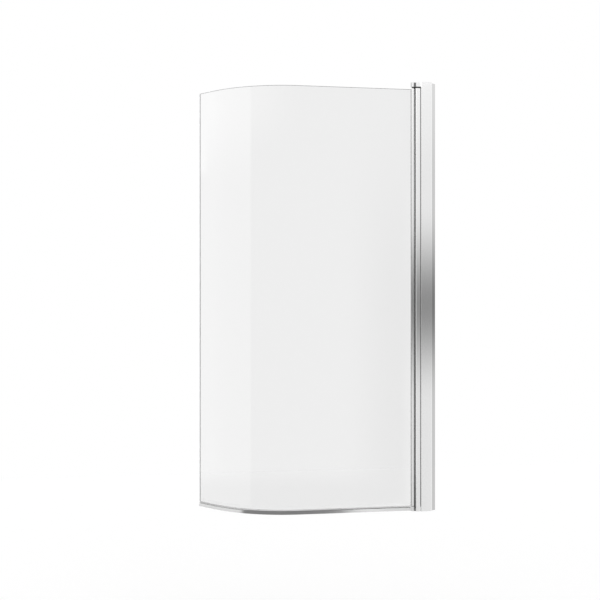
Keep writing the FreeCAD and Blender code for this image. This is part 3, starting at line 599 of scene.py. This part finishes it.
# The cornice, shaded over the front and bright over the wall's side and the far side
CORNICE_RISE = (0.222, 0.245)
CORNICE_LEVEL = 0.85
CORNICE_SHADE = 0.8
CORNICE_SHADE_START_TURN = (-64, -60)
CORNICE_WALL_TURN = (12.1, 12.8)
CORNICE_WALL_END_TURN = (18, 22)
CORNICE_WALL_DIM_TURN = (13, 16)
CORNICE_WALL_LEVELS = (2.9, 2.0)
CORNICE_FAR_TURN = (-62, -56)
CORNICE_FAR_LEVEL = 2.2

# The pale floor and ceiling
FLOOR_RISE = (-0.30, -0.25)
FLOOR_FADE_RISE = (-0.95, -0.30)
FLOOR_LEVELS = (0.85, 0.38)
CEILING_RISE = (0.37, 0.43)
CEILING_LEVEL = 0.85

scene = bpy.context.scene
scene.view_settings.view_transform = "Standard"

world = bpy.data.worlds.new("studio")
world.use_nodes = True
scene.world = world
sky = Finish(world.node_tree)


def ray_heading():
    """Where a ray goes: its turn from the front, in degrees, and its rise."""
    across, along, upward = sky.axes(sky.value("ShaderNodeTexCoord", output="Generated"))
    return across.math("ARCTAN2", 0.0 - along) * math.degrees(1), upward


turn, rise = ray_heading()


def eye_line():
    """The level of the tall panels at each height, dark at eye level."""
    away = (rise - LINE_HEIGHT).math("ABSOLUTE").ramp(0.0, LINE_REACH)
    return away * rise.ramp(*LINE_GAIN_RISE, *LINE_GAINS) + LINE_LEVEL


def wall_panel(line):
    """The wall's side: lighter at the top, and dimmer where it turns to the rear."""
    panel = line + rise.ramp(*WALL_TOP_RISE, 0.0, WALL_TOP_GAIN)
    panel = panel * turn.ramp(*WALL_BRIGHT_TURN, 1.0, WALL_BRIGHT)
    panel = panel * turn.ramp(*WALL_DIM_TURN, 1.0, WALL_DIM)
    return panel + turn.ramp(*WALL_DIM_TURN) * rise.ramp(*WALL_DIM_TOP_RISE, 0.0, WALL_DIM_TOP_GAIN)


def front_panel(line):
    """The front, and what light sees there that is mirrored more than once."""
    plain = turn.ramp(*FRONT_DIM_TURN, *FRONT_LEVELS)
    plain = plain + turn.ramp(*FRONT_DIM_TURN) * rise.ramp(*FRONT_LIFT_RISE, 0.0, FRONT_LIFT)
    lighter = rise.ramp(*CREVICE_LIGHT_RISE, 0.0, CREVICE_LIGHT)
    dimmer = rise.ramp(*CREVICE_DIM_RISE, 0.0, CREVICE_DIM)
    in_crevice = line * (CREVICE_SHARE + lighter - dimmer)
    crevice = sky.ray("Glossy Depth").above(ONE_BOUNCE_LIMIT)
    corner = turn.ramp(*FRONT_CORNER_TURN, FRONT_CORNER_LIFT, 0.0) * rise.ramp(*FRONT_CORNER_RISE)
    return plain * (1.0 - crevice) + in_crevice * crevice + corner


def far_panel():
    """The far side, with its lighter top."""
    fade = rise.ramp(*FAR_TOP_RISE, 0.0, FAR_TOP_LIFT)
    sharp = rise.ramp(*FAR_END_RISE, 0.0, FAR_END_LIFT)
    return FAR_LEVEL + fade + turn.fall(*FAR_END_TURN) * (sharp - fade)


def cornice_level(rear):
    """The level of the cornice all round."""
    over_front = turn.ramp(*CORNICE_SHADE_START_TURN) * turn.fall(*CORNICE_WALL_TURN)
    over_wall = turn.ramp(*CORNICE_WALL_TURN) * turn.fall(*CORNICE_WALL_END_TURN)
    over_far = turn.fall(*CORNICE_FAR_TURN) - rear
    level = CORNICE_LEVEL * (1.0 - CORNICE_SHADE * over_front)
    level = level + over_wall * turn.ramp(*CORNICE_WALL_DIM_TURN, *CORNICE_WALL_LEVELS)
    return level + CORNICE_FAR_LEVEL * over_far


def mirrored_room():
    """What polished surfaces see: a tall panel by the wall and behind, with a soft dark line at eye level,
    a plain front, a bright far side, a shaded skirting and a cornice, between a pale floor and ceiling.
    Light that is mirrored more than once sees the dark line in front too."""
    line = eye_line()
    wall_side = turn.ramp(*WALL_TURN)
    rear = turn.fall(*REAR_TURN)
    far_side = turn.fall(*FAR_TURN) - rear
    front = 1.0 - wall_side - far_side - rear
    level = wall_side * wall_panel(line) + far_side * far_panel()
    level = level + rear * (REAR_SHARE * line) + front * front_panel(line)
    skirting = rise.fall(*SKIRTING_RISE) * (SKIRTING_FRONT * front + SKIRTING_FAR * far_side)
    cornice = rise.ramp(*CORNICE_RISE)
    walls = level * (1.0 - skirting) * (1.0 - cornice) + cornice_level(rear) * cornice
    below = rise.fall(*FLOOR_RISE)
    above = rise.ramp(*CEILING_RISE)
    floor_level = rise.ramp(*FLOOR_FADE_RISE, *FLOOR_LEVELS)
    return walls * (1.0 - below - above) + floor_level * below + CEILING_LEVEL * above


seen = sky.seen_directly()
mirrored = sky.ray("Is Glossy Ray") * (1.0 - seen)
scattered = 1.0 - seen - mirrored
strength = seen + mirrored * mirrored_room() + scattered * ROOM_LIGHT
background = sky.value("ShaderNodeBackground", {"Color": WHITE, "Strength": strength})
sky.node("ShaderNodeOutputWorld", {"Surface": background})

# Floor, which keeps the shadow of the object
bpy.ops.object.select_all(action="DESELECT")
bpy.ops.mesh.primitive_plane_add(size=FLOOR_SIZE, location=(*FLOOR_MIDDLE, FLOOR_Z))
floor = bpy.context.object
floor.name = "floor"
floor_material, floor_paint = new_material("pale_floor")


def even_lift():
    """What the floor lacks to be white, from the room's light and the lamp's fall-off."""
    lamp_x, lamp_y, lamp_z = LAMP_PLACE
    x, y, _ = floor_paint.axes(floor_paint.value("ShaderNodeNewGeometry", output="Position"))
    across = x - lamp_x
    along = y - lamp_y
    height = lamp_z - FLOOR_Z
    spread = (across * across + along * along) / height ** 2 + 1.0
    lamp_light = FLOOR_TONE * LAMP_POWER / (math.pi * height) ** 2
    return FLOOR_WHITE - FLOOR_TONE * ROOM_LIGHT - lamp_light / (spread * spread)


glow = even_lift() * floor_paint.seen_directly()
lift = floor_paint.value("ShaderNodeEmission", {"Color": WHITE, "Strength": glow})
matt = floor_paint.value("ShaderNodeBsdfDiffuse", {"Color": grey(FLOOR_TONE)})
lifted = floor_paint.value("ShaderNodeAddShader", [matt, lift])
floor_paint.node("ShaderNodeOutputMaterial", {"Surface": lifted})
floor.data.materials.append(floor_material)
floor.visible_glossy = False

# Lamp: square, facing straight down, not shown by mirrors or glass
lamp_data = bpy.data.lights.new("top_lamp", "AREA")
lamp_data.size = LAMP_SIZE
lamp_data.energy = LAMP_POWER
lamp = bpy.data.objects.new("top_lamp", lamp_data)
lamp.location = LAMP_PLACE
lamp.visible_glossy = False
lamp.visible_transmission = False
scene.collection.objects.link(lamp)

# Camera: level, about 3.2 m away, turned a little from the flat glass
CAMERA_PLACE = (-0.9765, -3.161, -0.011)
CAMERA_TURN = math.radians(-9.5)
CAMERA_LENS = 60
CAMERA_SENSOR = 36
camera_data = bpy.data.cameras.new("camera")
camera_data.sensor_width = CAMERA_SENSOR
camera_data.lens = CAMERA_LENS
camera = bpy.data.objects.new("camera", camera_data)
camera.location = CAMERA_PLACE
camera.rotation_euler = (math.pi / 2, 0, CAMERA_TURN)
scene.collection.objects.link(camera)
scene.camera = camera
